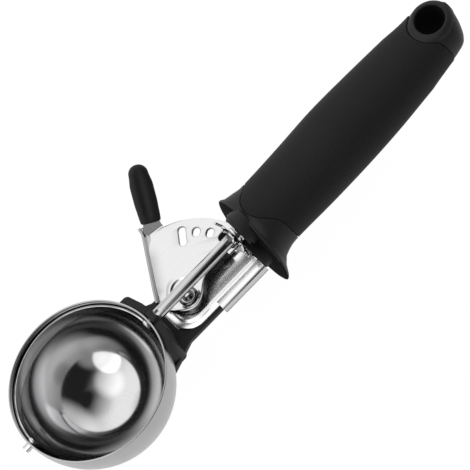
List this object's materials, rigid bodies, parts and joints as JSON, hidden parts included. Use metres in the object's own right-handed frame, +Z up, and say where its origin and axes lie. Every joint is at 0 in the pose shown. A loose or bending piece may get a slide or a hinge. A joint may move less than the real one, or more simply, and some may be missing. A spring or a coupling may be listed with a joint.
{
  "type": "lever ice cream scoop",
  "caption": "Ice cream scoop with a round steel bowl, a sweeping scraper blade and a thumb lever that turns it through a slotted sector and a star wheel.",
  "frame": {"origin": "centre of the bowl's hemisphere, which lies on the scraper shaft's axis", "axes": "+X along the shaft from the bowl to the handle's end, +Y towards the thumb lever's side, +Z up out of the bowl's mouth"},
  "size_m": [0.2243, 0.0785, 0.0423],
  "materials": {
    "bowl": "satin stainless steel, polished inside",
    "bowl_cradle": "plain steel patch",
    "scraper_blade": "polished stainless strip",
    "blade_tip_pin": "polished steel pin",
    "scraper_shaft": "polished stainless tube",
    "shaft_core": "plain steel rod",
    "star_wheel": "bright stamped steel",
    "wheel_hub": "bright turned steel",
    "thrust_washer": "bright steel",
    "front_bush": "natural nylon",
    "rear_bush": "natural nylon",
    "frame_plate": "polished stainless sheet",
    "frame_rivet": "polished steel",
    "pivot_post": "polished steel rivet",
    "pivot_washer": "bright steel",
    "pivot_spacer": "plain brass",
    "return_spring": "spring wire",
    "lever_stops": "plain steel pins",
    "lever_plate": "polished stainless sheet",
    "thumb_pad": "soft black rubber",
    "saddle_neck": "satin black moulding",
    "tang": "plain steel bar",
    "tang_pins": "plain steel pins",
    "handle_core": "satin black moulding",
    "grip_sleeve": "soft black rubber",
    "end_cap": "satin black moulding"
  },
  "bodies": {
    "handle_frame": {"bowl": "bowl", "bowl_cradle": "bowl_cradle", "front_bush": "front_bush", "rear_bush": "rear_bush", "frame_plate": "frame_plate", "frame_rivet": "frame_rivet", "pivot_post": "pivot_post", "pivot_washer": "pivot_washer", "pivot_spacer": "pivot_spacer", "return_spring": "return_spring", "lever_stops": "lever_stops", "saddle_neck": "saddle_neck", "tang": "tang", "tang_pins": "tang_pins", "handle_core": "handle_core", "grip_sleeve": "grip_sleeve", "end_cap": "end_cap"},
    "lever": {"lever_plate": "lever_plate", "thumb_pad": "thumb_pad"},
    "scraper": {"scraper_blade": "scraper_blade", "blade_tip_pin": "blade_tip_pin", "scraper_shaft": "scraper_shaft", "shaft_core": "shaft_core", "star_wheel": "star_wheel", "wheel_hub": "wheel_hub", "thrust_washer": "thrust_washer"}
  },
  "joints": [
    {"name": "lever_press", "type": "hinge", "parent": "handle_frame", "child": "lever", "pos_m": [0.0478, 0, -0.0079], "axis": [0, 0, -1], "range_deg": [0, 35], "stiffness_Nm_per_rad": 0.4, "springref_deg": -28.65},
    {"name": "scraper_spin", "type": "hinge", "parent": "handle_frame", "child": "scraper", "pos_m": [0, 0, 0], "axis": [-1, 0, 0], "range_deg": [0, 112]}
  ],
  "couplings": [
    {"joint": "scraper_spin", "follows": "lever_press", "ratio": 3.2}
  ]
}
